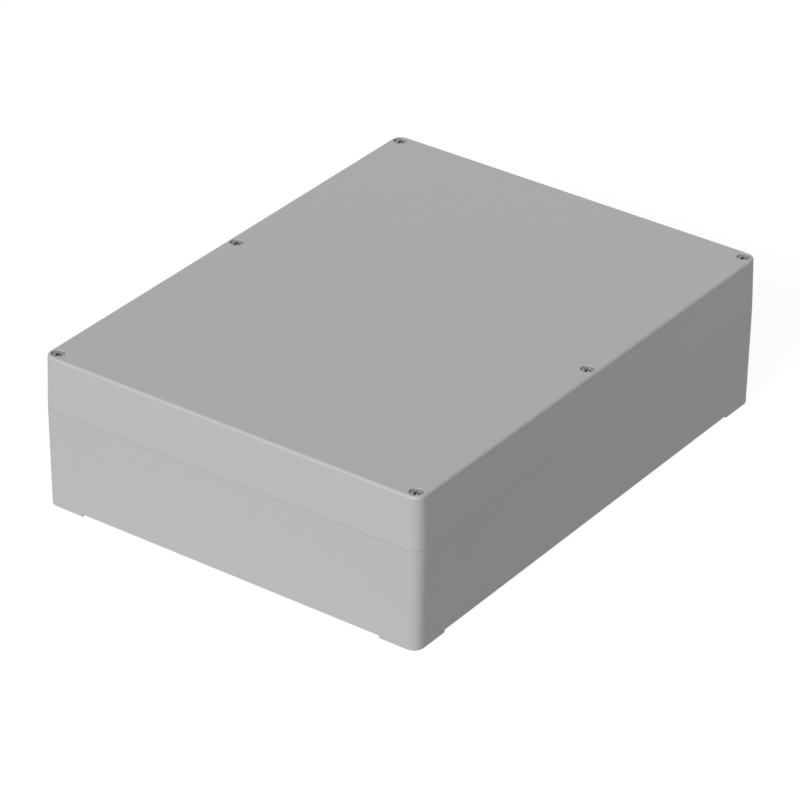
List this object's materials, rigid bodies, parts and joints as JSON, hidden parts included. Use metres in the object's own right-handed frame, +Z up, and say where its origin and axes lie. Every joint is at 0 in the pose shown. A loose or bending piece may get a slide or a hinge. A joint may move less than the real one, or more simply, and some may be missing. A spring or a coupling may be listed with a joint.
{
  "type": "polycarbonate enclosure",
  "caption": "Sealed rectangular electronics box: moulded base and lid with a gasket between them, recessed lid screws in threaded inserts, corner feet and board bosses inside.",
  "frame": {"origin": "middle of the footprint, on the surface that the corner feet stand on", "axes": "+X along the long side, +Y along the short side, +Z up through the lid"},
  "size_m": [0.3, 0.23, 0.086],
  "materials": {
    "housing": "light grey moulded polycarbonate, satin, very fine texture",
    "gasket": "dark grey soft elastomer",
    "screw": "stainless steel, turned head",
    "ring": "natural nylon",
    "insert": "plain turned brass"
  },
  "bodies": {
    "root": {"base": "housing", "lid": "housing", "lid_gasket": "gasket", "lid_screw_front_left": "screw", "lid_screw_front_middle": "screw", "lid_screw_front_right": "screw", "lid_screw_rear_left": "screw", "lid_screw_rear_middle": "screw", "lid_screw_rear_right": "screw", "screw_retaining_ring_front_left": "ring", "screw_retaining_ring_front_middle": "ring", "screw_retaining_ring_front_right": "ring", "screw_retaining_ring_rear_left": "ring", "screw_retaining_ring_rear_middle": "ring", "screw_retaining_ring_rear_right": "ring", "threaded_insert_front_left": "insert", "threaded_insert_front_middle": "insert", "threaded_insert_front_right": "insert", "threaded_insert_rear_left": "insert", "threaded_insert_rear_middle": "insert", "threaded_insert_rear_right": "insert"}
  },
  "joints": []
}
